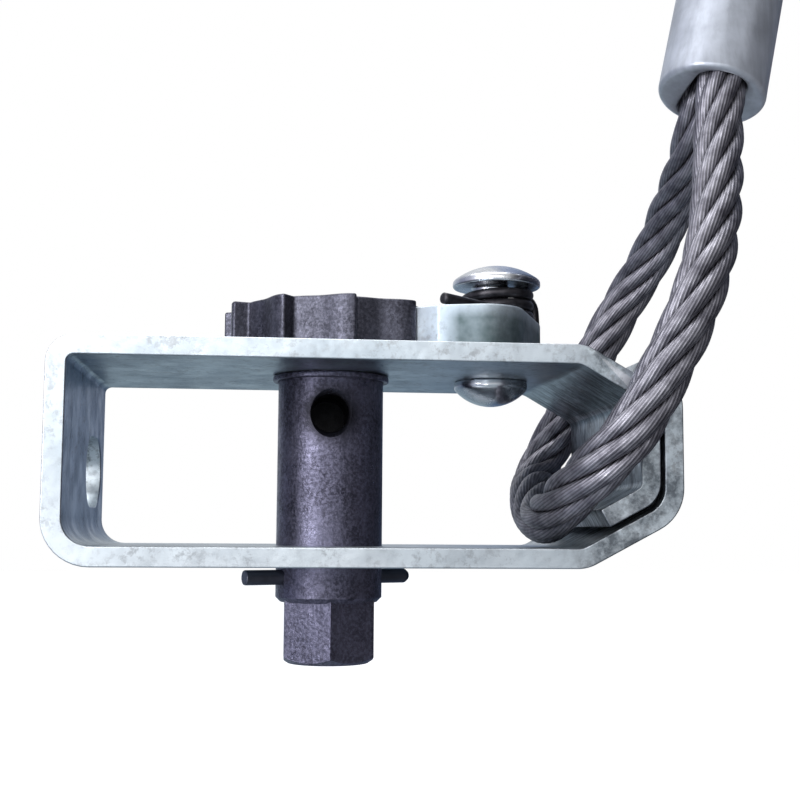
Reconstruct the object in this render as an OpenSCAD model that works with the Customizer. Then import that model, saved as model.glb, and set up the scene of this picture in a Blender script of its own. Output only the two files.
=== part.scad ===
// A come-along winch: a bent steel strap carries a winding shaft with a ratchet wheel on top,
// a sprung pawl on a rivet, and a wire-rope sling that is looped through the far end of the strap.
// X runs from the wire slot to the sling, Y across the strap and Z up.
// The origin is the middle of the wire slot, at the outer face of the strap's web.

/* [Strap] */
// Thickness of the strap
strap_t = 4; // [3.5:0.1:4]
// Width of the strap
strap_w = 60; // [56:1:60]
// Height of the frame over its two flanges
frame_h = 45; // [44:0.5:46]

/* [Winding shaft] */
// Diameter of the winding shaft
shaft_d = 23; // [22:0.5:23]
// Distance across the flats of the drive hexagon
hex_af = 19; // [17:1:19]
// Length of the drive hexagon
hex_len = 13; // [10:1:16]
// Diameter of the wire hole in the shaft
wire_hole_d = 8; // [6:0.5:9]
// Diameter of the cross pin
pin_d = 3.2; // [2.5:0.1:3.2]
// Length of the cross pin
pin_len = 40; // [36:1:44]

/* [Ratchet] */
// Diameter over the tips of the ratchet wheel
wheel_d = 48; // [46:0.5:48]
// Thickness of the ratchet wheel
wheel_t = 10.3; // [9:0.1:11]
// Number of ratchet teeth
teeth = 10; // [10:1:10]
// Radial depth of a tooth
tooth_depth = 3.3; // [3:0.1:3.5]
// Thickness of the pawl
pawl_t = 9; // [8:0.5:9]
// Diameter of the pawl rivet's shank
rivet_d = 8; // [7:0.5:8]

/* [Sling] */
// Diameter of the wire rope
rope_d = 11; // [10:0.5:11]
// Outer diameter of the ferrule
ferrule_d = 24; // [23.5:0.5:26]
// Length of the ferrule
ferrule_len = 50; // [44:1:60]
// Sides of the rope's solid
rope_sides = 12; // [8:1:12]

/* [Hidden] */
$fn = 72;
gap = 0.2;               // between faces that slide over each other
run_fit = 0.08;          // radial clearance of a turning shaft in its hole
overrun = 1;             // how far a cutting tool runs past the face it leaves

// The wire slot in the web, from the shaft's axis and the underside of the frame
web_x = -56.6;
slot_y = 13.8;
slot_z = 20;
slot_len = 24;
slot_h = 15.6;

// Levels above the underside of the frame
top_under = frame_h - strap_t;
wheel_z = frame_h + gap;
wheel_top = wheel_z + wheel_t;
pawl_z = frame_h + gap;
pawl_top = pawl_z + pawl_t;
collar_z = -8;
wire_hole_z = 32;
wire_hole_x = -0.6;       // drilled a little to the left of the shaft's axis
wire_hole_deep = 17;
wire_hole_chamfer = 0.5;
pin_z = -2.7;
pin_turn = 25;

// Middle line of the strap as corners [x, z, bend radius], from the inner lap round to the outer lap
low_slope = 28;
top_slope = 30;
end_x = 67.9;
lap_gap = 0.8;
lap_x = end_x - strap_t - lap_gap;
kink_x = 49.5;
lap_r = 5;
flap_r = lap_r + strap_t + lap_gap;
flap_len = 0.8;
lap_top = frame_h - strap_t / 2 - (lap_x - kink_x) * tan(top_slope);
flap_top = lap_top + (flap_r - lap_r) * tan(top_slope);
flap_reach = flap_r * tan(top_slope) + flap_len;
strap_line = [
    [53.6, 10, 0],
    [lap_x, 15.1, 4],
    [lap_x, lap_top, lap_r],
    [kink_x, frame_h - strap_t / 2, 6],
    [web_x + strap_t / 2, frame_h - strap_t / 2, 3.5],
    [web_x + strap_t / 2, strap_t / 2, 7.5],
    [kink_x, strap_t / 2, 6],
    [end_x, strap_t / 2 + (end_x - kink_x) * tan(low_slope), 7.5],
    [end_x, flap_top, flap_r],
    [end_x - flap_reach * cos(top_slope), flap_top + flap_reach * sin(top_slope), 0]
];
bend_steps = 10;

// Ratchet: the azimuth of a tooth's tip is counted from -Y towards +X
tooth_phase = 9.5;
pitch = 360 / teeth;
valley_end = 14;         // where a tooth's back begins to rise, in degrees past the tip before it
face_lean = 1.5;         // how far the steep face leans, in degrees
back_steps = 10;
tenon = 13;              // side of the square tenon that drives the wheel
peen_d = 17;
peen_h = 1;

// Pawl: its own axes run from the pivot to the nose (u) and away from the wheel (v)
pivot = [36.5, 5];
pawl_turn = -131.63;     // direction of u from +X
nose_u = 29.05;
nose_v = 6.8;
beak_v = -3.1;
beak_len = 4;
face_tilt = 0.21;
nose_r = 2;
elbow = [17.5, 8.9];
elbow_r = 8.8;
tail_r = 11.3;
wheel_in_pawl = [27.97, -23.95];
relief_r = 25.6;
relief_from = 23.2;
relief_to = 10;
relief_steps = 8;
tail_from = 290;         // direction in which the round tail begins, in degrees from u
arc_steps = 16;

// Rivet and spring
head_d = 20;
head_h = 5;
head_shift = 1.4;        // the closed head sits a little off the shank
low_head_d = 16.6;
low_head_h = 5.6;
wire_d = 2.4;
coil_r = 7.2;
coil_shift = 1.5;        // the coil leans against one side of the shank
coil_z = pawl_top + wire_d / 2 + 0.1;
coil_pitch = wire_d + 0.06;
coil_from = -45;         // direction in which the coil begins, in degrees from +X
coil_lift = 0.3;         // how far the coil's beginning is above the pawl
coil_sides = 8;
coil_rings = 40;
coil_step = 20;          // turn between two rings, in degrees
spring_foot_z = frame_h + 0.3;
// The long leg, from its tip at the pawl's nose to the coil: [x, y, lift]
long_leg = [[-14, -23.6, 0.3], [-9.6, -20.4, 0.1], [-3.6, -14.9, 0.1], [2.2, -9.3, 0.2]];
// The short leg, bent down to the flange: [distance out from the coil, drop from its top ring]
short_leg = [[2.6, -0.1], [4.6, 1.4], [5.2, 4.5]];
head_z = coil_z + coil_lift + coil_pitch * coil_rings * coil_step / 360 + wire_d / 2 + 0.2;

// Ferrule: where its lower end is, the way it points, and how far each leg is from its middle
ferrule_foot = [84.5, -9, 104.9];
ferrule_up = [0.246, 0.185, 0.951];
leg_off = 5.6;
leg_side = [-0.046, 0.983, -0.179];
ferrule_lip = 1.6;

// The rope's middle line: down the rear leg, through the strap's end, up the front leg,
// through the ferrule, round the eye and back into the ferrule
function along(s, side) = ferrule_foot + s * ferrule_up + side * leg_side;
under_ferrule = [
    [84, 1, 97.5], [84.2, 9, 92], [84, 18, 86.5], [83, 26, 80], [80.4, 32.4, 73],
    [76.8, 36, 66], [72.8, 37, 58.5], [68.5, 37.2, 50.5], [63.7, 37.1, 41],
    [58.8, 36.6, 31.4], [54.8, 34.4, 24.4], [51.8, 28.8, 19.6], [49.6, 21, 17.4],
    [47.6, 12, 15], [46.4, 3, 11.9], [45.8, -6, 10.2], [45.6, -15, 10.6],
    [46.4, -23, 13], [48.4, -29.8, 16.6], [52, -34.8, 21], [56.6, -37, 26.4],
    [60.8, -37.3, 33], [64.6, -37.2, 40.4], [67.8, -36.8, 46.5], [71.2, -35.6, 54],
    [74.4, -33, 61.5], [77.2, -29.3, 69.5], [79.6, -25, 78], [81.6, -20.6, 86.5],
    [83.2, -17, 95]
];
eye_half = 22;
eye_up = 34;
eye_steps = 10;
route = concat(
    [along(ferrule_len / 2, leg_off), along(ferrule_len / 4, leg_off), along(2, leg_off)],
    under_ferrule,
    [for (s = [2, 16, 34, ferrule_len - 2]) along(s, -leg_off)],
    [along(ferrule_len + 8, -leg_off - 1.2), along(ferrule_len + 21, -leg_off - 9)],
    [for (i = [0 : eye_steps])
        let (a = 180 * i / eye_steps)
        along(ferrule_len + eye_up + eye_half * sin(a), -eye_half * cos(a))],
    [along(ferrule_len + 21, leg_off + 9), along(ferrule_len + 8, leg_off + 1.2)],
    [along(ferrule_len - 2, leg_off), along(ferrule_len * 3 / 4, leg_off),
        along(ferrule_len / 2 + 0.4, leg_off)]
);

// Moves what is drawn about the shaft's axis and the frame's underside to the part's own origin
module placed() translate([-web_x, -slot_y, -slot_z]) children();

function unit(v) = v / norm(v);

// Outline of a strip: the middle line with its corners turned into arcs, moved off by d
function corner(line, i, d) =
    let (a = [line[i - 1][0], line[i - 1][1]],
         b = [line[i][0], line[i][1]],
         c = [line[i + 1][0], line[i + 1][1]],
         p = unit(b - a),
         q = unit(c - b),
         side = p[0] * q[1] - p[1] * q[0] > 0 ? 1 : -1,
         turn = acos(p * q),
         back = line[i][2] * tan(turn / 2),
         middle = b - back * p + side * line[i][2] * [-p[1], p[0]],
         start = atan2(-side * p[0], side * p[1]))
    [for (k = [0 : bend_steps])
        let (w = start + side * turn * k / bend_steps, r = line[i][2] - side * d)
        middle + r * [cos(w), sin(w)]];

function end_point(a, b, d) = let (p = unit([b[0] - a[0], b[1] - a[1]])) [-p[1], p[0]] * d;

function strip_side(line, d) =
    let (n = len(line) - 1)
    concat(
        [[line[0][0], line[0][1]] + end_point(line[0], line[1], d)],
        [for (i = [1 : n - 1]) each corner(line, i, d)],
        [[line[n][0], line[n][1]] + end_point(line[n - 1], line[n], d)]
    );

function reversed(v) = [for (i = [len(v) - 1 : -1 : 0]) v[i]];

module strap_outline() polygon(concat(
    strip_side(strap_line, strap_t / 2), reversed(strip_side(strap_line, -strap_t / 2))));

// A hole with round ends, along X through the web
module slot_cutter() {
    reach = slot_len / 2 - slot_h / 2;
    for (s = [-1, 1])
        translate([web_x - overrun, slot_y + s * reach, slot_z])
            rotate([0, 90, 0])
                cylinder(d = slot_h, h = strap_t + 2 * overrun);
    translate([web_x - overrun, slot_y - reach, slot_z - slot_h / 2])
        cube([strap_t + 2 * overrun, 2 * reach, slot_h]);
}

module frame_strap() color("#c9d0d6") placed() difference() {
    rotate([90, 0, 0])
        translate([0, 0, -strap_w / 2])
            linear_extrude(strap_w)
                strap_outline();
    for (z = [-overrun, top_under - overrun])
        translate([0, 0, z])
            cylinder(r = shaft_d / 2 + run_fit, h = strap_t + 2 * overrun);
    translate([pivot[0], pivot[1], top_under - overrun])
        cylinder(d = rivet_d, h = strap_t + 2 * overrun);
    slot_cutter();
}

module drum_shaft() color("#45434d") placed() {
    hex_chamfer = 1.5;
    mouth_y = sqrt(pow(shaft_d, 2) - pow(wire_hole_d, 2)) / 2;
    intersection() {
        translate([0, 0, collar_z - hex_len])
            rotate([0, 0, 30])
                cylinder(d = hex_af / cos(30), h = hex_len + overrun, $fn = 6);
        translate([0, 0, collar_z - hex_len])
            rotate_extrude()
                polygon([[0, 0], [hex_af / 2 - hex_chamfer / 2, 0],
                    [hex_af / 2 / cos(30), hex_chamfer], [hex_af, hex_chamfer],
                    [hex_af, hex_len + overrun], [0, hex_len + overrun]]);
    }
    difference() {
        translate([0, 0, collar_z])
            rotate_extrude()
                polygon([[0, 0], [shaft_d / 2 - 1, 0], [shaft_d / 2, 1],
                    [shaft_d / 2, wheel_z - collar_z], [0, wheel_z - collar_z]]);
        translate([wire_hole_x, wire_hole_deep - shaft_d / 2, wire_hole_z])
            rotate([90, 0, 0])
                cylinder(d = wire_hole_d, h = wire_hole_deep + overrun);
        translate([wire_hole_x, wire_hole_chamfer - mouth_y, wire_hole_z])
            rotate([90, 0, 0])
                cylinder(d1 = wire_hole_d, d2 = wire_hole_d + 4, h = 2);
        rotate([0, 0, pin_turn])
            translate([-shaft_d, 0, pin_z])
                rotate([0, 90, 0])
                    cylinder(d = pin_d, h = 2 * shaft_d);
    }
    translate([-tenon / 2, -tenon / 2, wheel_z - overrun])
        cube([tenon, tenon, wheel_t + overrun]);
    translate([0, 0, wheel_top])
        cylinder(d1 = peen_d, d2 = peen_d - 3, h = peen_h);
}

function polar(r, az) = [r * sin(az), -r * cos(az)];

// One tooth, from its tip round the valley and up the back of the next
function tooth(k) =
    let (tip = wheel_d / 2, root = wheel_d / 2 - tooth_depth, at = tooth_phase + k * pitch)
    concat(
        [polar(tip, at), polar(root, at + face_lean), polar(root, at + (face_lean + valley_end) / 2)],
        [for (i = [0 : back_steps - 1])
            let (s = i / back_steps)
            polar(root + tooth_depth * (1 - cos(180 * s)) / 2,
                at + valley_end + (pitch - valley_end) * s)]
    );

module ratchet_wheel() color("#4a4952") placed() translate([0, 0, wheel_z]) difference() {
    linear_extrude(wheel_t)
        polygon([for (k = [0 : teeth - 1]) each tooth(k)]);
    translate([-tenon / 2, -tenon / 2, -overrun])
        cube([tenon, tenon, wheel_t + 2 * overrun]);
}

module thrust_ring() color("#3c3b44") placed() {
    ring_t = 1.2;
    translate([0, 0, top_under - gap - ring_t])
        difference() {
            cylinder(d = shaft_d + 2.4, h = ring_t);
            translate([0, 0, -overrun])
                cylinder(d = shaft_d, h = ring_t + 2 * overrun);
        }
}

module cross_pin() color("#5b5a60") placed()
    translate([0, 0, pin_z])
        rotate([0, 0, pin_turn])
            rotate([0, 90, 0])
                rotate_extrude($fn = 32)
                    polygon([[0, -pin_len / 2], [pin_d / 2, -pin_len / 2],
                        [pin_d / 2, pin_len / 2 - 1], [pin_d / 2 - 0.8, pin_len / 2],
                        [0, pin_len / 2]]);

// Hollow of the pawl that clears the tips of the wheel, from the beak back to the tail
relief = [for (i = [0 : relief_steps])
    let (u = relief_from + (relief_to - relief_from) * i / relief_steps,
         w = u - wheel_in_pawl[0])
    [u, wheel_in_pawl[1] + sqrt(relief_r * relief_r - w * w)]];

function arc(middle, r, from, to) = [for (i = [0 : arc_steps])
    let (a = from + (to - from) * i / arc_steps)
    middle + r * [cos(a), sin(a)]];

// Direction of the radius at which a line touches circle a (radius ra) and circle b (radius rb)
function touch(a, ra, b, rb) =
    let (d = b - a)
    atan2(d[1], d[0]) + acos((ra - rb) / norm(d));

module pawl_outline() {
    nose = [nose_u - nose_r, nose_v - nose_r];
    tail_to = touch([0, 0], tail_r, elbow, elbow_r);
    elbow_to = touch(elbow, elbow_r, nose, nose_r);
    polygon(concat(
        arc([0, 0], tail_r, tail_from, tail_to),
        arc(elbow, elbow_r, tail_to, elbow_to),
        arc(nose, nose_r, elbow_to, 0),
        [[nose_u, 0], [nose_u + face_tilt * beak_v, beak_v], [nose_u - beak_len, beak_v]],
        relief
    ));
}

module pawl() color("#b9c6cf") placed()
    translate([pivot[0], pivot[1], pawl_z])
        difference() {
            rotate([0, 0, pawl_turn])
                linear_extrude(pawl_t)
                    pawl_outline();
            translate([0, 0, -overrun])
                cylinder(r = rivet_d / 2 + 0.05, h = pawl_t + 2 * overrun);
        }

// A domed rivet head of width d and height h, standing on its flat face
module dome(d, h) {
    rim = h * 0.3;
    ball = (pow(d / 2, 2) + pow(h - rim, 2)) / (2 * (h - rim));
    cylinder(d = d, h = rim);
    intersection() {
        translate([0, 0, h - ball])
            sphere(r = ball, $fn = 96);
        translate([0, 0, rim])
            cylinder(d = d, h = h);
    }
}

module pawl_rivet() color("#d4dadf") placed() translate([pivot[0], pivot[1], 0]) {
    translate([0, 0, top_under - overrun])
        cylinder(d = rivet_d, h = head_z - top_under + 2 * overrun);
    translate([head_shift, 0, head_z])
        dome(head_d, head_h);
    translate([0, 0, top_under])
        mirror([0, 0, 1])
            dome(low_head_d, low_head_h);
}

// A closed tube of radius r along the points of line, with n sides
module tube(line, r, n) {
    last = len(line) - 1;
    dirs = [for (i = [0 : last]) unit(line[min(i + 1, last)] - line[max(i - 1, 0)])];
    first = unit(cross(dirs[0], abs(dirs[0][2]) < 0.9 ? [0, 0, 1] : [0, 1, 0]));
    frames = carried(dirs, [first], 1);
    points = [for (i = [0 : last], k = [0 : n - 1])
        let (a = 360 * k / n)
        line[i] + r * (cos(a) * frames[i] + sin(a) * cross(dirs[i], frames[i]))];
    sides = [for (i = [0 : last - 1], k = [0 : n - 1])
        let (a = i * n + k, b = i * n + (k + 1) % n)
        each [[a, a + n, b], [b, a + n, b + n]]];
    polyhedron(points = points, faces = concat(
        [[for (k = [0 : n - 1]) k]],
        sides,
        [[for (k = [n - 1 : -1 : 0]) last * n + k]]
    ));
}

// The side vector of each ring, carried along the line without twist
function carried(dirs, done, i) =
    i == len(dirs) ? done :
    let (f = done[i - 1], g = f - (f * dirs[i]) * dirs[i])
    carried(dirs, concat(done, [unit(g)]), i + 1);

// The coil stands on the pawl. Its lower end reaches to the nose, its upper end down to the flange.
module pawl_spring() color("#26252a") placed() translate([pivot[0], pivot[1], 0]) {
    coil = [for (i = [0 : coil_rings])
        let (a = i * coil_step)
        [coil_shift + coil_r * cos(coil_from + a), coil_r * sin(coil_from + a),
            coil_z + coil_lift + coil_pitch * a / 360]];
    top = coil[len(coil) - 1];
    out = unit([top[0] - coil_shift, top[1], 0]);
    tube(concat(
        [for (p = long_leg) p + [0, 0, coil_z]],
        coil,
        [for (p = short_leg) top + p[0] * out - [0, 0, p[1]]],
        [[top[0], top[1], spring_foot_z] + short_leg[2][0] * out]
    ), wire_d / 2, coil_sides);
}

module sling_rope() color("#6b6870") placed() tube(route, rope_d / 2, rope_sides);

// Turns what is drawn along +Z, with its width along +X, to the ferrule's place
module on_ferrule() {
    z = unit(ferrule_up);
    x = unit(leg_side - (leg_side * z) * z);
    y = cross(z, x);
    multmatrix([
        [x[0], y[0], z[0], ferrule_foot[0]],
        [x[1], y[1], z[1], ferrule_foot[1]],
        [x[2], y[2], z[2], ferrule_foot[2]],
        [0, 0, 0, 1]
    ]) children();
}

module sling_ferrule() color("#ccd2da") placed() on_ferrule() difference() {
    rotate_extrude()
        polygon([[0, 0], [ferrule_d / 2 - ferrule_lip, 0], [ferrule_d / 2, ferrule_lip],
            [ferrule_d / 2, ferrule_len - ferrule_lip], [ferrule_d / 2 - ferrule_lip, ferrule_len],
            [0, ferrule_len]]);
    for (s = [-1, 1])
        translate([s * leg_off, 0, -overrun])
            cylinder(d = rope_d, h = ferrule_len + 2 * overrun);
    translate([-leg_off, -rope_d / 4, -overrun])
        cube([2 * leg_off, rope_d / 2, ferrule_len + 2 * overrun]);
}

frame_strap();
drum_shaft();
ratchet_wheel();
thrust_ring();
cross_pin();
pawl();
pawl_rivet();
pawl_spring();
sling_rope();
sling_ferrule();
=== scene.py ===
"""A come-along winch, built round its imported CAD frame: a zinc-plated strap, a forged winding
shaft with its ratchet wheel, a sprung pawl, and a wire-rope sling held by a pressed ferrule."""
import math

import bmesh
import bpy
from mathutils import Matrix, Vector


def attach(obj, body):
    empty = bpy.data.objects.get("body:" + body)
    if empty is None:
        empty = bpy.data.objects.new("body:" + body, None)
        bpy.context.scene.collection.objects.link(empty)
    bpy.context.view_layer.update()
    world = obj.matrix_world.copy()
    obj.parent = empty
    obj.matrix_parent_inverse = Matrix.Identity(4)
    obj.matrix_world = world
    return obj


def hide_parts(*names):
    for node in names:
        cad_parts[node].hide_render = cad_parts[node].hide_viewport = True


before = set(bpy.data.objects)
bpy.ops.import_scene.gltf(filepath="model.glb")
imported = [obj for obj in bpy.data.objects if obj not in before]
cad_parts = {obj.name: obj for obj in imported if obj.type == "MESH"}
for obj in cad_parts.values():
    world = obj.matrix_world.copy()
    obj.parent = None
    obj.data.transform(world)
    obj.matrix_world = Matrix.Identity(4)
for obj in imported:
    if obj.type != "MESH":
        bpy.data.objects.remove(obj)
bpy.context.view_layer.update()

# Camera: a long lens a little under the shaft, turned slightly to the right and up
CAMERA_AT = (0.04364, -0.29145, -0.01239)
CAMERA_YAW = math.radians(5.818)
CAMERA_PITCH = math.radians(5.832)
CAMERA_ROLL = math.radians(0.372)
LENS_MM = 56.966
SENSOR_MM = 36
NEAREST_SEEN = 0.01

# Rope, ferrule and spring are laid out from the shaft's axis at the strap's underside, which is
# here in the part's frame. The pawl's pivot lies this far from there
SHAFT_AT = Vector((0.0566, -0.0138, -0.020))
PAWL_PIVOT = Vector((0.0365, 0.005, 0.0))


def make_camera():
    """The camera at the photograph's angle, with no shift."""
    ahead = Vector((
        math.sin(CAMERA_YAW) * math.cos(CAMERA_PITCH),
        math.cos(CAMERA_YAW) * math.cos(CAMERA_PITCH),
        math.sin(CAMERA_PITCH),
    ))
    right = Vector((math.cos(CAMERA_YAW), -math.sin(CAMERA_YAW), 0))
    up = right.cross(ahead)
    rolled_right = right * math.cos(CAMERA_ROLL) + up * math.sin(CAMERA_ROLL)
    rolled_up = up * math.cos(CAMERA_ROLL) - right * math.sin(CAMERA_ROLL)
    data = bpy.data.cameras.new("camera")
    data.sensor_width = SENSOR_MM
    data.lens = LENS_MM
    data.clip_start = NEAREST_SEEN
    camera = bpy.data.objects.new("camera", data)
    turn = Matrix((rolled_right, rolled_up, -ahead)).transposed()
    camera.matrix_world = Matrix.Translation(CAMERA_AT) @ turn.to_4x4()
    bpy.context.scene.collection.objects.link(camera)
    bpy.context.scene.camera = camera


make_camera()


# ---------------------------------------------------------------- curves and sweeps

def smooth_line(points, spacing):
    """Points about spacing apart on a centripetal curve through the given ones."""
    line = []
    count = len(points)
    for i in range(count - 1):
        p0 = points[max(i - 1, 0)]
        p1, p2 = points[i], points[i + 1]
        p3 = points[min(i + 2, count - 1)]
        if i == 0:
            p0 = p1 * 2 - p2
        if i == count - 2:
            p3 = p2 * 2 - p1
        t1 = (p1 - p0).length ** 0.5
        t2 = t1 + (p2 - p1).length ** 0.5
        t3 = t2 + (p3 - p2).length ** 0.5
        steps = max(1, round((p2 - p1).length / spacing))
        for k in range(steps):
            t = t1 + (t2 - t1) * k / steps
            a1 = p0 * ((t1 - t) / t1) + p1 * (t / t1)
            a2 = p1 * ((t2 - t) / (t2 - t1)) + p2 * ((t - t1) / (t2 - t1))
            a3 = p2 * ((t3 - t) / (t3 - t2)) + p3 * ((t - t2) / (t3 - t2))
            b1 = a1 * ((t2 - t) / t2) + a2 * (t / t2)
            b2 = a2 * ((t3 - t) / (t3 - t1)) + a3 * ((t - t1) / (t3 - t1))
            line.append(b1 * ((t2 - t) / (t2 - t1)) + b2 * ((t - t1) / (t2 - t1)))
    line.append(points[-1].copy())
    return line


def carried_frames(line):
    """Direction and two side vectors at each point, carried along without twist."""
    last = len(line) - 1
    ways = [(line[min(i + 1, last)] - line[max(i - 1, 0)]).normalized() for i in range(last + 1)]
    side = ways[0].orthogonal().normalized()
    frames = []
    for way in ways:
        side = (side - way * side.dot(way)).normalized()
        frames.append((way, side, way.cross(side)))
    return frames


def distances(line):
    """How far along the line each point is."""
    run = [0.0]
    for a, b in zip(line, line[1:]):
        run.append(run[-1] + (b - a).length)
    return run


# A tube's end has one ring this share of the way in to the middle, and this share of its rise
CAP_INWARD = 0.35
CAP_RISE = 0.75


def circle(radius, sides):
    """The points (x, y) of a round outline."""
    angles = [2 * math.pi * k / sides for k in range(sides)]
    return [(radius * math.cos(a), radius * math.sin(a)) for a in angles]


def sweep(mesh, line, frames, ring, rounded_ends=0.0):
    """Adds a closed tube to the bmesh: ring(i) gives the outline's points (x, y) at point i."""
    rows = []
    for i, (middle, (_, side, other)) in enumerate(zip(line, frames)):
        rows.append([mesh.verts.new(middle + side * x + other * y) for x, y in ring(i)])
    for low, high in zip(rows, rows[1:]):
        for k in range(len(low)):
            n = (k + 1) % len(low)
            mesh.faces.new((low[k], low[n], high[n], high[k]))
    for row, way in ((rows[0], -frames[0][0]), (rows[-1], frames[-1][0])):
        middle = sum((v.co for v in row), Vector()) / len(row)
        tip = mesh.verts.new(middle + way * rounded_ends)
        rise = way * rounded_ends * CAP_RISE
        inner = [mesh.verts.new(v.co.lerp(middle, CAP_INWARD) + rise) for v in row]
        for k in range(len(row)):
            n = (k + 1) % len(row)
            mesh.faces.new((row[k], row[n], inner[n], inner[k]))
            mesh.faces.new((inner[k], inner[n], tip))


def finished(mesh, name, body, material, slot, *nodes):
    """Turns the bmesh into a piece that rides on a body and stands for CAD nodes."""
    bmesh.ops.recalc_face_normals(mesh, faces=mesh.faces)
    data = bpy.data.meshes.new(name)
    mesh.to_mesh(data)
    mesh.free()
    for face in data.polygons:
        face.use_smooth = True
    piece = bpy.data.objects.new(name, data)
    bpy.context.scene.collection.objects.link(piece)
    data.materials.append(material)
    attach(piece, body)
    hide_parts(*nodes)
    return piece


# ---------------------------------------------------------------- materials

# Roughness for a viewer that doesn't follow a material's nodes
PLAIN_ROUGHNESS = 0.4
# Share of a bore's radius where the painted shade inside it starts to fade
LINE_FADE = 0.985


def shade_of(colour, factor):
    """A colour made darker or lighter."""
    return tuple(factor * c for c in colour)


class Look:
    """A metal material, put together node by node."""

    def __init__(self, name, metallic):
        self.material = bpy.data.materials.new(name)
        self.material.use_nodes = True
        self.tree = self.material.node_tree
        self.shader = self.tree.nodes["Principled BSDF"]
        self.shader.inputs["Metallic"].default_value = metallic
        self.shader.inputs["Roughness"].default_value = PLAIN_ROUGHNESS
        self.where = self.tree.nodes.new("ShaderNodeTexCoord").outputs["Object"]

    def link(self, source, target):
        self.tree.links.new(source, target)
        return target

    def stretched(self, scale, turn=(0, 0, 0)):
        """Object coordinates scaled along each axis."""
        node = self.tree.nodes.new("ShaderNodeMapping")
        node.inputs["Scale"].default_value = scale
        node.inputs["Rotation"].default_value = turn
        self.link(self.where, node.inputs["Vector"])
        return node.outputs["Vector"]

    def axis(self, name):
        """One of the object coordinates, in metres."""
        node = self.tree.nodes.new("ShaderNodeSeparateXYZ")
        self.link(self.where, node.inputs[0])
        return node.outputs[name]

    def near_line(self, way, point, radius):
        """1 within a radius of a line along one axis, and 0 outside."""
        flat = self.tree.nodes.new("ShaderNodeVectorMath")
        flat.operation = "MULTIPLY"
        keep = tuple(0.0 if axis == way else 1.0 for axis in "XYZ")
        flat.inputs[1].default_value = keep
        self.link(self.where, flat.inputs[0])
        far = self.tree.nodes.new("ShaderNodeVectorMath")
        far.operation = "DISTANCE"
        far.inputs[1].default_value = tuple(p * k for p, k in zip(point, keep))
        self.link(flat.outputs[0], far.inputs[0])
        return self.ramp(far.outputs["Value"], (radius * LINE_FADE, 1.0), (radius, 0.0))

    def noise(self, scale, detail=4.0, roughness=0.6, where=None):
        """Cloudy noise over the object coordinates, or over the ones given."""
        node = self.tree.nodes.new("ShaderNodeTexNoise")
        node.inputs["Scale"].default_value = scale
        node.inputs["Detail"].default_value = detail
        node.inputs["Roughness"].default_value = roughness
        self.link(where or self.where, node.inputs["Vector"])
        return node.outputs["Fac"]

    def ramp(self, source, *stops):
        """A colour ramp: stops are (place, colour), and a colour is a grey or three numbers."""
        node = self.tree.nodes.new("ShaderNodeValToRGB")
        elements = node.color_ramp.elements
        while len(elements) < len(stops):
            elements.new(0.5)
        for element, (place, colour) in zip(elements, stops):
            element.position = place
            rgb = (colour,) * 3 if isinstance(colour, (int, float)) else colour
            element.color = (*rgb, 1)
        self.link(source, node.inputs["Fac"])
        return node.outputs["Color"]

    def mix(self, share, a, b, kind="MIX"):
        """Colour a turned into b by a share, each of them a socket or a value."""
        node = self.tree.nodes.new("ShaderNodeMix")
        node.data_type = "RGBA"
        node.blend_type = kind
        for value, name in ((share, 0), (a, 6), (b, 7)):
            socket = node.inputs[name]
            if isinstance(value, bpy.types.NodeSocket):
                self.link(value, socket)
            elif isinstance(value, (int, float)):
                socket.default_value = value
            else:
                socket.default_value = (*value, 1)
        return node.outputs[2]

    def edges(self):
        """Near 1 on outward edges and 0 on flat faces."""
        node = self.tree.nodes.new("ShaderNodeNewGeometry")
        return self.ramp(node.outputs["Pointiness"], (0.505, 0.0), (0.56, 1.0))

    def colour(self, source):
        self.link(source, self.shader.inputs["Base Color"])

    def rough(self, source):
        self.link(source, self.shader.inputs["Roughness"])

    def bump(self, *layers):
        """Bumps one over another: each layer is (height socket, depth in metres, strength)."""
        normal = None
        for height, depth, strength in layers:
            node = self.tree.nodes.new("ShaderNodeBump")
            node.inputs["Distance"].default_value = depth
            node.inputs["Strength"].default_value = strength
            self.link(height, node.inputs["Height"])
            if normal is not None:
                self.link(normal, node.inputs["Normal"])
            normal = node.outputs["Normal"]
        self.link(normal, self.shader.inputs["Normal"])


FORGED_METALLIC = 0.85
BEND_DARK = (0.035, 0.045, 0.06)
BEND_FADE = 0.006
# Painted shade on the pawl's side, past a point along X and below its top edge: its colour, fade and
# heights
PAINTED_SIDE_SHADE = (0.06, 0.09, 0.095)
SIDE_FADE = 0.0022
SIDE_FULL_BELOW = 0.0312
SIDE_NONE_ABOVE = 0.0326
BORE_PAINTED_SHADE = (0.004, 0.004, 0.005)
WIRE_DULL = (0.11, 0.107, 0.13)
WIRE_CROWN = (0.36, 0.355, 0.4)
VALLEY_PAINTED_SHADE = (0.012, 0.011, 0.016)
SPRING_DULL = (0.02, 0.019, 0.023)
SPRING_SHEEN = (0.07, 0.067, 0.075)


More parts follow.
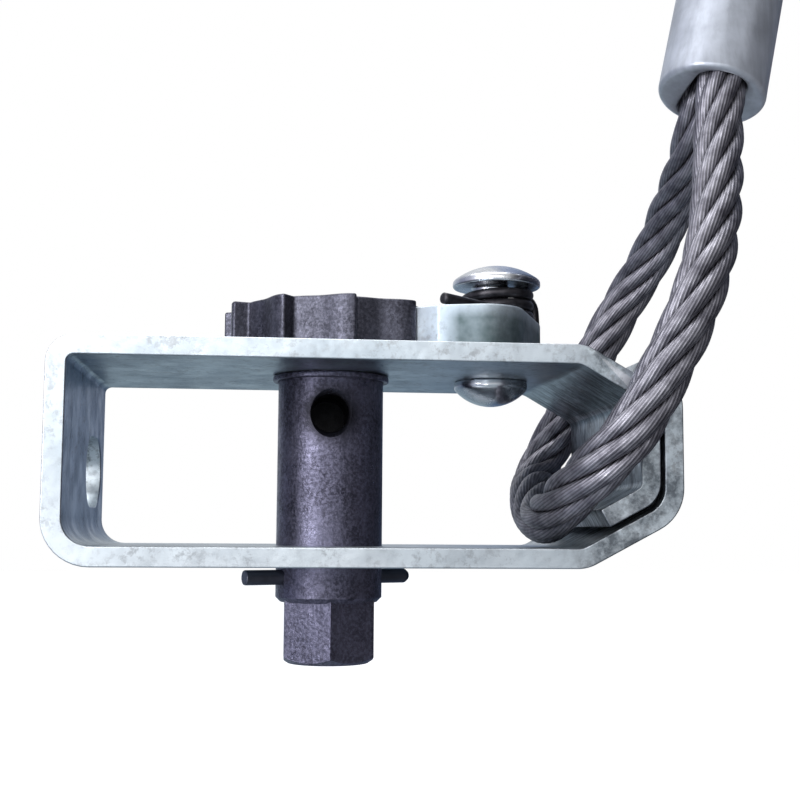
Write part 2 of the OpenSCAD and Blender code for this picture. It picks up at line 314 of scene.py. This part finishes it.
def zinc_plate(
    name, dark, light, blue, edge, roughness, metallic=1.0, bend_from=None, side_from=None
):
    """Plated hot-rolled bar: cloudy blue-grey zinc, fine pits and scuffs, brighter worn edges.

    Past bend_from along X the bar is darker, in streaks. Past side_from along X, and below its
    top edge, it is darkened with painted shade.
    """
    look = Look(name, metallic)
    clouds = look.noise(60, detail=5, roughness=0.62)
    base = look.ramp(clouds, (0.3, dark), (0.7, light))
    tint = look.ramp(look.noise(22, detail=3), (0.42, 0.0), (0.72, 0.5))
    base = look.mix(tint, base, blue)
    pits = look.ramp(look.noise(650, detail=3, roughness=0.7), (0.36, 1.0), (0.5, 0.0))
    patchy = look.ramp(look.noise(140, detail=2), (0.42, 0.25), (0.62, 0.95))
    spots = look.mix(1.0, pits, patchy, "MULTIPLY")
    base = look.mix(spots, base, shade_of(dark, 0.45))
    drawn = look.noise(1, detail=4, roughness=0.7, where=look.stretched((90, 900, 900)))
    streaks = look.ramp(drawn, (0.5, 0.0), (0.72, 0.08))
    base = look.mix(streaks, base, light)
    base = look.mix(look.edges(), base, edge)
    # Painted shade: past side_from along X and below the top edge the colour is darkened to stand in for
    # shade
    if side_from:
        inwards = look.ramp(look.axis("X"), (side_from, 0.0), (side_from + SIDE_FADE, 1.0))
        below = look.ramp(look.axis("Z"), (SIDE_FULL_BELOW, 1.0), (SIDE_NONE_ABOVE, 0.0))
        shade = look.mix(1.0, inwards, below, "MULTIPLY")
        uneven = look.ramp(look.noise(220, detail=3), (0.3, 1.0), (0.75, 0.7))
        shade = look.mix(1.0, shade, uneven, "MULTIPLY")
        base = look.mix(shade, base, PAINTED_SIDE_SHADE)
    # Past bend_from along X the colour is made darker, in streaks
    if bend_from:
        bent = look.ramp(look.axis("X"), (bend_from, 0.0), (bend_from + BEND_FADE, 1.0))
        streaky = look.noise(1, detail=5, roughness=0.75, where=look.stretched((160, 700, 160), (0, 0.5, 0)))
        darker_past_bend = look.mix(1.0, bent, look.ramp(streaky, (0.4, 0.75), (0.6, 0.0)), "MULTIPLY")
        base = look.mix(darker_past_bend, base, BEND_DARK)
    look.colour(base)
    look.rough(look.ramp(look.noise(160, detail=4), (0.3, roughness - 0.1), (0.7, roughness + 0.12)))
    look.bump(
        (look.noise(75, detail=3), 0.0006, 0.5),
        (look.noise(420, detail=4, roughness=0.6), 0.0001, 0.35),
    )
    return look.material


def forged_steel(name, dark, light, roughness, bore=None):
    """Blued forging: near black with a purple cast, grainy scale and rubbed high spots.

    A bore is a point on its axis, which runs along Y, and a radius. Painted shade darkens it inside.
    """
    look = Look(name, metallic=FORGED_METALLIC)
    base = look.ramp(look.noise(110, detail=5, roughness=0.65), (0.3, dark), (0.72, light))
    grain = look.ramp(look.noise(1500, detail=3, roughness=0.7), (0.42, 0.0), (0.62, 0.55))
    base = look.mix(grain, base, shade_of(light, 1.7))
    upright = look.noise(1, detail=3, roughness=0.6, where=look.stretched((500, 500, 60)))
    runs = look.ramp(upright, (0.5, 0.0), (0.75, 0.4))
    base = look.mix(runs, base, shade_of(light, 1.5))
    if bore:
        # Painted shade inside the bore: darkened by distance from its axis all along Y, so the far face
        # shows a dark disc too
        bore_shade = look.near_line("Y", *bore)
        base = look.mix(bore_shade, base, BORE_PAINTED_SHADE)
    look.colour(base)
    look.rough(look.ramp(look.noise(300, detail=4), (0.3, roughness - 0.08), (0.7, roughness + 0.14)))
    look.bump(
        (look.noise(160, detail=3), 0.0004, 0.45),
        (look.noise(1300, detail=4, roughness=0.7), 0.00012, 0.8),
    )
    return look.material


def bright_metal(name, base, roughness, scratch_way, metallic=1.0):
    """Smooth plated or drawn metal with fine lines one way and a few dull patches."""
    look = Look(name, metallic)
    shade = shade_of(base, 0.72)
    tone = look.ramp(look.noise(90, detail=4), (0.32, shade), (0.62, base))
    scratches = look.noise(1, detail=3, roughness=0.7, where=look.stretched(scratch_way))
    lines = look.ramp(scratches, (0.45, 0.0), (0.7, 0.45))
    tone = look.mix(lines, tone, shade_of(base, 0.6))
    look.colour(tone)
    look.rough(look.ramp(look.noise(200, detail=4), (0.3, roughness - 0.06), (0.72, roughness + 0.14)))
    look.bump(
        (look.noise(120, detail=3), 0.0004, 0.35),
        (scratches, 0.00005, 0.5),
    )
    return look.material


def rope_wire(name):
    """Drawn wire: mid grey on the crowns, and near black in the valleys, where shade is painted in."""
    look = Look(name, metallic=0.9)
    base = look.ramp(look.noise(260, detail=4), (0.3, WIRE_DULL), (0.7, WIRE_CROWN))
    valley = look.tree.nodes.new("ShaderNodeAttribute")
    valley.attribute_name = "valley"
    # Painted shade: the valley attribute darkens the grooves between wires, each strand's inward side and
    # the core
    base = look.mix(valley.outputs["Fac"], base, VALLEY_PAINTED_SHADE)
    look.colour(base)
    look.rough(look.ramp(look.noise(700, detail=3), (0.3, 0.36), (0.7, 0.56)))
    look.bump((look.noise(2400, detail=2), 0.00004, 0.5))
    return look.material


def black_spring(name):
    """Blackened spring wire with a faint sheen."""
    look = Look(name, metallic=0.8)
    look.colour(look.ramp(look.noise(400, detail=4), (0.3, SPRING_DULL), (0.75, SPRING_SHEEN)))
    look.rough(look.ramp(look.noise(500, detail=3), (0.3, 0.3), (0.7, 0.46)))
    look.bump((look.noise(1600, detail=3), 0.00004, 0.5))
    return look.material


# The wire hole's middle, and a radius just over its own that takes in its wall, where shade is painted
WIRE_HOLE_AT = (0.056, 0, 0.012)
WIRE_HOLE_R = 0.00404

ZINC = zinc_plate(
    "zinc", dark=(0.36, 0.41, 0.45), light=(0.62, 0.68, 0.72), blue=(0.3, 0.42, 0.5),
    edge=(0.8, 0.83, 0.87), roughness=0.38, bend_from=0.103,
)
PAWL_ZINC = zinc_plate(
    "pawl_zinc", dark=(0.26, 0.33, 0.42), light=(0.42, 0.5, 0.58), blue=(0.24, 0.34, 0.44),
    edge=(0.85, 0.9, 0.93), roughness=0.46, metallic=0.75, side_from=0.0788,
)
FORGED = forged_steel(
    "forged", dark=(0.024, 0.023, 0.036), light=(0.125, 0.122, 0.175), roughness=0.34,
    bore=(WIRE_HOLE_AT, WIRE_HOLE_R),
)
WHEEL_STEEL = forged_steel(
    "wheel_steel", dark=(0.02, 0.02, 0.028), light=(0.085, 0.086, 0.112), roughness=0.38,
)
RIVET_ZINC = bright_metal(
    "rivet_zinc", base=(0.78, 0.8, 0.84), roughness=0.22, scratch_way=(700, 700, 90),
)
PIN_STEEL = bright_metal(
    "pin_steel", base=(0.2, 0.2, 0.24), roughness=0.38, scratch_way=(90, 700, 700),
)
ALUMINIUM = bright_metal(
    "ferrule_metal", base=(0.43, 0.46, 0.52), roughness=0.4, scratch_way=(600, 600, 45),
    metallic=0.75,
)
WIRE = rope_wire("rope_wire")
SPRING_STEEL = black_spring("spring_black")


# ---------------------------------------------------------------- the sling's rope

# The ferrule's foot, the way its axis points, and the way from the front leg to the rear leg
FERRULE_FOOT = Vector((0.0845, -0.009, 0.1049))
FERRULE_UP = Vector((0.246, 0.185, 0.951))
LEG_SIDE = Vector((-0.046, 0.983, -0.179))
FERRULE_LEN = 0.050
FERRULE_R = 0.012
# How far each leg of the rope lies from the ferrule's axis
LEG_OFF = 0.0056
# The eye above the ferrule: half its width, and its middle's height over the ferrule
EYE_HALF = 0.022
EYE_UP = 0.034
EYE_STEPS = 10
# The rope's middle line below the ferrule, from the rear leg through the strap to the front leg
UNDER_FERRULE = [
    (0.0840, 0.0010, 0.0975), (0.0842, 0.0090, 0.0920), (0.0840, 0.0180, 0.0865),
    (0.0830, 0.0260, 0.0800), (0.0804, 0.0324, 0.0730), (0.0768, 0.0360, 0.0660),
    (0.0728, 0.0370, 0.0585), (0.0685, 0.0372, 0.0505), (0.0637, 0.0371, 0.0410),
    (0.0588, 0.0366, 0.0314), (0.0548, 0.0344, 0.0244), (0.0518, 0.0288, 0.0196),
    (0.0496, 0.0210, 0.0174), (0.0476, 0.0120, 0.0150), (0.0464, 0.0030, 0.0119),
    (0.0458, -0.0060, 0.0102), (0.0456, -0.0150, 0.0106), (0.0464, -0.0230, 0.0130),
    (0.0484, -0.0298, 0.0166), (0.0520, -0.0348, 0.0210), (0.0566, -0.0370, 0.0264),
    (0.0608, -0.0373, 0.0330), (0.0646, -0.0372, 0.0404), (0.0678, -0.0368, 0.0465),
    (0.0712, -0.0356, 0.0540), (0.0744, -0.0330, 0.0615), (0.0772, -0.0293, 0.0695),
    (0.0796, -0.0250, 0.0780), (0.0816, -0.0206, 0.0865), (0.0832, -0.0170, 0.0950),
]


def along(distance, side):
    """A point by its distance up the ferrule's axis and its distance to the side."""
    return FERRULE_FOOT + FERRULE_UP * distance + LEG_SIDE * side


def rope_route():
    """The rope's middle line: rear leg, strap's end, front leg, ferrule, eye, ferrule."""
    route = [along(s, LEG_OFF) for s in (FERRULE_LEN / 2, FERRULE_LEN / 4, 0.002)]
    route += [Vector(p) for p in UNDER_FERRULE]
    route += [along(s, -LEG_OFF) for s in (0.002, 0.016, 0.034, FERRULE_LEN - 0.002)]
    spread = [(0.008, LEG_OFF + 0.0012), (0.021, LEG_OFF + 0.009)]
    route += [along(FERRULE_LEN + rise, -out) for rise, out in spread]
    for i in range(EYE_STEPS + 1):
        a = math.pi * i / EYE_STEPS
        route.append(along(FERRULE_LEN + EYE_UP + EYE_HALF * math.sin(a), -EYE_HALF * math.cos(a)))
    route += [along(FERRULE_LEN + rise, out) for rise, out in reversed(spread)]
    route += [
        along(s, LEG_OFF)
        for s in (FERRULE_LEN - 0.002, FERRULE_LEN * 3 / 4, FERRULE_LEN / 2 + 0.0004)
    ]
    return [p + SHAFT_AT for p in route]


STRANDS = 6
STRAND_R = 0.00184
STRAND_MIDDLE = 0.00358
ROPE_LAY = 0.066
WIRES = 16
WIRE_LAY = 0.030
POINTS_A_WIRE = 3
STRAND_POINTS = WIRES * POINTS_A_WIRE
GROOVE_DEPTH = 0.00018
# How dark the painted shade in the grooves between wires is, and where round a strand the painted shade of
# its inward side begins
GROOVE_PAINTED_SHADE = 0.55
VALLEY_FROM = 0.25
CORE_R = 0.0021
CORE_SIDES = 8
RING_EVERY = 0.0013


def wire_turn(distance):
    """How far a strand's wires have turned at a distance along the rope."""
    return -2 * math.pi * distance / WIRE_LAY


def strand_outline(turn):
    """The points (x, y) of a strand: a crown for each wire, with grooves between."""
    outline = []
    for k in range(STRAND_POINTS):
        a = 2 * math.pi * k / STRAND_POINTS
        crown = abs(math.sin(math.pi * k / POINTS_A_WIRE))
        r = STRAND_R - GROOVE_DEPTH * (1 - crown)
        outline.append((r * math.cos(a + turn), r * math.sin(a + turn)))
    return outline


def make_rope():
    """Six strands laid right-handed round a core, each with a ring of wires laid the other way."""
    line = smooth_line(rope_route(), RING_EVERY)
    frames = carried_frames(line)
    run = distances(line)
    mesh = bmesh.new()
    valley = mesh.verts.layers.float.new("valley")
    for s in range(STRANDS):
        phases = [2 * math.pi * (s / STRANDS + d / ROPE_LAY) for d in run]
        middle = [
            p + (f[1] * math.cos(a) + f[2] * math.sin(a)) * STRAND_MIDDLE
            for p, f, a in zip(line, frames, phases)
        ]
        strand_frames = []
        for i, (p, f, a) in enumerate(zip(middle, frames, phases)):
            way = (middle[min(i + 1, len(middle) - 1)] - middle[max(i - 1, 0)]).normalized()
            out = f[1] * math.cos(a) + f[2] * math.sin(a)
            out = (out - way * out.dot(way)).normalized()
            strand_frames.append((way, out, way.cross(out)))

        first = len(mesh.verts)
        sweep(mesh, middle, strand_frames, lambda i: strand_outline(wire_turn(run[i])))
        mesh.verts.ensure_lookup_table()
        # Painted shade along the grooves between wires and on each strand's side towards the core
        for i in range(len(middle)):
            for k in range(STRAND_POINTS):
                a = 2 * math.pi * k / STRAND_POINTS + wire_turn(run[i])
                groove_shade = GROOVE_PAINTED_SHADE if k % POINTS_A_WIRE == 0 else 0.0
                inward = max(0.0, min(1.0, (VALLEY_FROM - math.cos(a)) / (1 - VALLEY_FROM)))
                mesh.verts[first + i * STRAND_POINTS + k][valley] = min(1.0, groove_shade + inward)
    first = len(mesh.verts)
    core = circle(CORE_R, CORE_SIDES)
    sweep(mesh, line, frames, lambda i: core)
    mesh.verts.ensure_lookup_table()
    # Painted shade: the core, hidden between the strands, is made fully dark
    for v in mesh.verts[first:]:
        v[valley] = 1.0
    rope = finished(mesh, "sling_rope_strands", "sling", WIRE, "wire_rope", "sling_rope")
    return rope, line, run[-1]


rope, rope_line, rope_length = make_rope()


# ---------------------------------------------------------------- the ferrule

def make_ferrule():
    """A pressed sleeve: an oval hole at each end with a countersunk mouth and a rounded lip."""
    axis = FERRULE_UP.normalized()
    wide = (LEG_SIDE - axis * LEG_SIDE.dot(axis)).normalized()
    deep = axis.cross(wide)
    foot = FERRULE_FOOT + SHAFT_AT
    around, hole_r, lip = 96, 0.0056, 0.0012
    press_depth, press_marks = 0.00022, 6

    def oval(r, stretch, a):
        """A point of a stadium: a circle of radius r with its halves moved apart."""
        x, y = r * math.cos(a), r * math.sin(a)
        shift = LEG_OFF * stretch * max(-1.0, min(1.0, math.cos(a) * 3))
        return x + shift, y

    # From inside the mouth out over the lip, up the side and in again: (height, radius, stretch)
    mouth = [
        (0.0090, hole_r, 1.0), (0.0050, hole_r, 1.0), (0.0024, hole_r, 0.98),
        (0.0009, hole_r + 0.0001, 0.94), (0.0003, hole_r + 0.0004, 0.88),
        (0.0000, hole_r + 0.0009, 0.78),
    ]
    rim = [
        (lip * (1 - math.sin(t)), FERRULE_R - lip * (1 - math.cos(t)), 0.0)
        for t in [math.pi / 2 * (1 - k / 6) for k in range(7)]
    ]
    side = [(FERRULE_LEN * k / 24, FERRULE_R, 0.0) for k in range(2, 23)]
    profile = mouth + rim + side
    profile += [(FERRULE_LEN - h, r, s) for h, r, s in reversed(mouth + rim)]
    mesh = bmesh.new()
    rows = []
    for height, r, stretch in profile:
        row = []
        for k in range(around):
            a = 2 * math.pi * k / around
            x, y = oval(r, stretch, a)
            outside = stretch == 0 and lip < height < FERRULE_LEN - lip
            flat = press_depth * math.cos(press_marks * a) if outside else 0
            scale = 1 - max(0.0, flat) / FERRULE_R
            row.append(mesh.verts.new(foot + axis * height + (wide * x + deep * y) * scale))
        rows.append(row)
    for low, high in zip(rows, rows[1:]):
        for k in range(around):
            n = (k + 1) % around
            mesh.faces.new((low[k], low[n], high[n], high[k]))
    for k in range(around):
        n = (k + 1) % around
        mesh.faces.new((rows[-1][k], rows[-1][n], rows[0][n], rows[0][k]))
    return finished(mesh, "pressed_ferrule", "sling", ALUMINIUM, "ferrule_aluminium", "sling_ferrule")


ferrule = make_ferrule()


# ---------------------------------------------------------------- the spring

PAWL_TOP = 0.0542
FLANGE_TOP = 0.045
SPRING_WIRE = 0.0024
SPRING_SIDES = 20


def make_spring():
    """The pawl's spring as one round wire: long leg, coil and the leg that hooks down."""
    coil_r, coil_shift, coil_pitch, coil_lift = 0.0072, 0.0015, 0.00246, 0.0003
    coil_from, coil_step, coil_rings = -45, 10, 80
    coil_z = PAWL_TOP + SPRING_WIRE / 2 + 0.0001
    long_leg = [
        (-0.0140, -0.0236, 0.0003), (-0.0096, -0.0204, 0.0001), (-0.0036, -0.0149, 0.0001),
        (0.0022, -0.0093, 0.0002),
    ]
    points = [Vector((x, y, coil_z + lift)) for x, y, lift in long_leg]
    for i in range(coil_rings + 1):
        a = math.radians(coil_from + i * coil_step)
        rise = coil_lift + coil_pitch * i * coil_step / 360
        points.append(Vector((coil_shift + coil_r * math.cos(a), coil_r * math.sin(a), coil_z + rise)))
    top = points[-1]
    out = Vector((top.x - coil_shift, top.y, 0)).normalized()
    for away, drop in ((0.0026, -0.0001), (0.0046, 0.0014), (0.0052, 0.0045)):
        points.append(top + out * away - Vector((0, 0, drop)))
    points.append(Vector((top.x, top.y, FLANGE_TOP + 0.0009)) + out * 0.0052)
    points = [p + PAWL_PIVOT + SHAFT_AT for p in points]
    line = smooth_line(points, 0.0008)
    frames = carried_frames(line)
    mesh = bmesh.new()
    outline = circle(SPRING_WIRE / 2, SPRING_SIDES)
    sweep(mesh, line, frames, lambda i: outline, rounded_ends=0.0003)
    return finished(mesh, "torsion_spring", "pawl", SPRING_STEEL, "spring_steel", "pawl_spring")


make_spring()


# ---------------------------------------------------------------- the CAD pieces

WELD_WITHIN = 0.000002
FLAT_WITHIN = math.radians(0.2)


def dress(node, material, bevel, segments, limit=30):
    """Gives a CAD node its finish and rounds its edges with modifiers."""
    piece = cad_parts[node]
    piece.data.materials.clear()
    piece.data.materials.append(material)
    weld = piece.modifiers.new("weld", "WELD")
    weld.merge_threshold = WELD_WITHIN
    flat = piece.modifiers.new("flat", "DECIMATE")
    flat.decimate_type = "DISSOLVE"
    flat.angle_limit = FLAT_WITHIN
    round_off = piece.modifiers.new("round", "BEVEL")
    round_off.width = bevel
    round_off.segments = segments
    round_off.limit_method = "ANGLE"
    round_off.angle_limit = math.radians(limit)
    round_off.use_clamp_overlap = True
    round_off.harden_normals = False
    normals = piece.modifiers.new("normals", "WEIGHTED_NORMAL")
    normals.keep_sharp = False
    for face in piece.data.polygons:
        face.use_smooth = True


dress("frame_strap", ZINC, bevel=0.0008, segments=4)
dress("drum_shaft", FORGED, bevel=0.0004, segments=3)
dress("ratchet_wheel", WHEEL_STEEL, bevel=0.0005, segments=3, limit=40)
dress("thrust_ring", FORGED, bevel=0.0003, segments=2)
dress("cross_pin", PIN_STEEL, bevel=0.0003, segments=2)
dress("pawl", PAWL_ZINC, bevel=0.0009, segments=4)
dress("pawl_rivet", RIVET_ZINC, bevel=0.0005, segments=3, limit=40)


# ---------------------------------------------------------------- floor, sky and lights

def make_floor():
    """A wide pale floor below the held part."""
    half, drop = 4.0, 0.16
    mesh = bmesh.new()
    corners = ((-half, -half), (half, -half), (half, half), (-half, half))
    mesh.faces.new([mesh.verts.new((x, y, -drop)) for x, y in corners])
    data = bpy.data.meshes.new("floor")
    mesh.to_mesh(data)
    mesh.free()
    floor = bpy.data.objects.new("floor", data)
    bpy.context.scene.collection.objects.link(floor)
    pale = bpy.data.materials.new("pale_floor")
    pale.use_nodes = True
    inputs = pale.node_tree.nodes["Principled BSDF"].inputs
    inputs["Base Color"].default_value = (0.93, 0.93, 0.93, 1)
    inputs["Roughness"].default_value = 0.9
    inputs["Emission Color"].default_value = (1, 1, 1, 1)
    inputs["Emission Strength"].default_value = 0.6
    data.materials.append(pale)
    floor.visible_glossy = False


def make_sky():
    """Studio surroundings: a front and a back half, bright above and darker right and below.

    Where the camera looks past the part it sees plain white paper.
    """
    world = bpy.data.worlds.new("studio")
    bpy.context.scene.world = world
    world.use_nodes = True
    tree = world.node_tree
    tree.nodes.clear()

    def new(kind, **settings):
        node = tree.nodes.new(kind)
        for name, value in settings.items():
            setattr(node, name, value)
        return node

    place = new("ShaderNodeTexCoord")
    split = new("ShaderNodeSeparateXYZ")
    tree.links.new(place.outputs["Generated"], split.inputs[0])

    def ramp(source, *stops):
        spread = new("ShaderNodeMapRange")
        spread.inputs["From Min"].default_value = -1
        spread.inputs["From Max"].default_value = 1
        tree.links.new(source, spread.inputs["Value"])
        node = new("ShaderNodeValToRGB")
        elements = node.color_ramp.elements
        while len(elements) < len(stops):
            elements.new(0.5)
        for element, (at, colour) in zip(elements, stops):
            element.position = (at + 1) / 2
            element.color = (*colour, 1)
        tree.links.new(spread.outputs[0], node.inputs["Fac"])
        return node.outputs["Color"]

    def product(a, b):
        node = new("ShaderNodeMix", data_type="RGBA", blend_type="MULTIPLY")
        node.inputs[0].default_value = 1
        tree.links.new(a, node.inputs[6])
        tree.links.new(b, node.inputs[7])
        return node.outputs[2]

    def blend(share, a, b):
        node = new("ShaderNodeMix", data_type="RGBA")
        for socket, name in ((share, 0), (a, 6), (b, 7)):
            tree.links.new(socket, node.inputs[name])
        return node.outputs[2]

    front = product(
        ramp(
            split.outputs["Z"], (-1, (0.30, 0.36, 0.42)), (-0.3, (0.55, 0.62, 0.68)),
            (0.0, (0.95, 0.97, 1)), (1, (1, 1, 1))),
        ramp(
            split.outputs["X"], (-1, (0.75, 0.76, 0.9)), (-0.7, (1, 1, 1.1)), (-0.2, (1, 1, 1)),
            (0.22, (1, 1, 1)), (0.42, (0.5, 0.5, 0.51)), (0.7, (0.05, 0.05, 0.06)),
            (1, (0.03, 0.03, 0.04))))
    back = product(
        ramp(
            split.outputs["Z"], (-1, (0.24, 0.30, 0.35)), (-0.1, (0.42, 0.53, 0.6)),
            (0.05, (0.8, 0.85, 0.9)), (1, (1, 1, 1))),
        ramp(
            split.outputs["X"], (-1, (0.35, 0.36, 0.5)), (-0.5, (0.8, 0.82, 0.88)), (0.06, (1, 1, 1)),
            (0.2, (0.36, 0.43, 0.6)), (0.5, (0.11, 0.14, 0.22)), (1, (0.05, 0.05, 0.07))))
    depth = ramp(split.outputs["Y"], (-0.25, (0, 0, 0)), (0.25, (1, 1, 1)))
    seen = blend(depth, front, back)
    surroundings = new("ShaderNodeBackground")
    surroundings.inputs["Strength"].default_value = 0.86
    tree.links.new(seen, surroundings.inputs["Color"])
    paper = new("ShaderNodeBackground")
    paper.inputs["Color"].default_value = (1, 1, 1, 1)
    either = new("ShaderNodeMixShader")
    tree.links.new(new("ShaderNodeLightPath").outputs["Is Camera Ray"], either.inputs[0])
    tree.links.new(surroundings.outputs[0], either.inputs[1])
    tree.links.new(paper.outputs[0], either.inputs[2])
    tree.links.new(either.outputs[0], new("ShaderNodeOutputWorld").inputs[0])


def area_light(name, at, target, size, power):
    """A rectangular lamp at a place, turned to face a target."""
    data = bpy.data.lights.new(name, "AREA")
    data.shape = "RECTANGLE"
    data.size, data.size_y = size
    data.energy = power
    light = bpy.data.objects.new(name, data)
    light.location = at
    light.rotation_mode = "QUATERNION"
    light.rotation_quaternion = (Vector(target) - Vector(at)).to_track_quat("-Z", "Y")
    bpy.context.scene.collection.objects.link(light)


make_floor()
make_sky()
area_light("key", (-0.55, -0.6, 0.3), (0.06, 0, 0.01), size=(0.2, 0.7), power=5.2)
area_light("front", (-0.1, -0.9, 0.3), (0.06, 0, 0.01), size=(0.6, 0.3), power=1.5)
area_light("bounce", (-0.15, -0.5, -0.12), (0.09, 0, 0.01), size=(0.12, 0.08), power=0.2)
area_light("top", (-0.05, 0.05, 0.8), (0.06, 0, 0), size=(0.6, 0.6), power=4)
bpy.context.scene.view_settings.view_transform = "Standard"
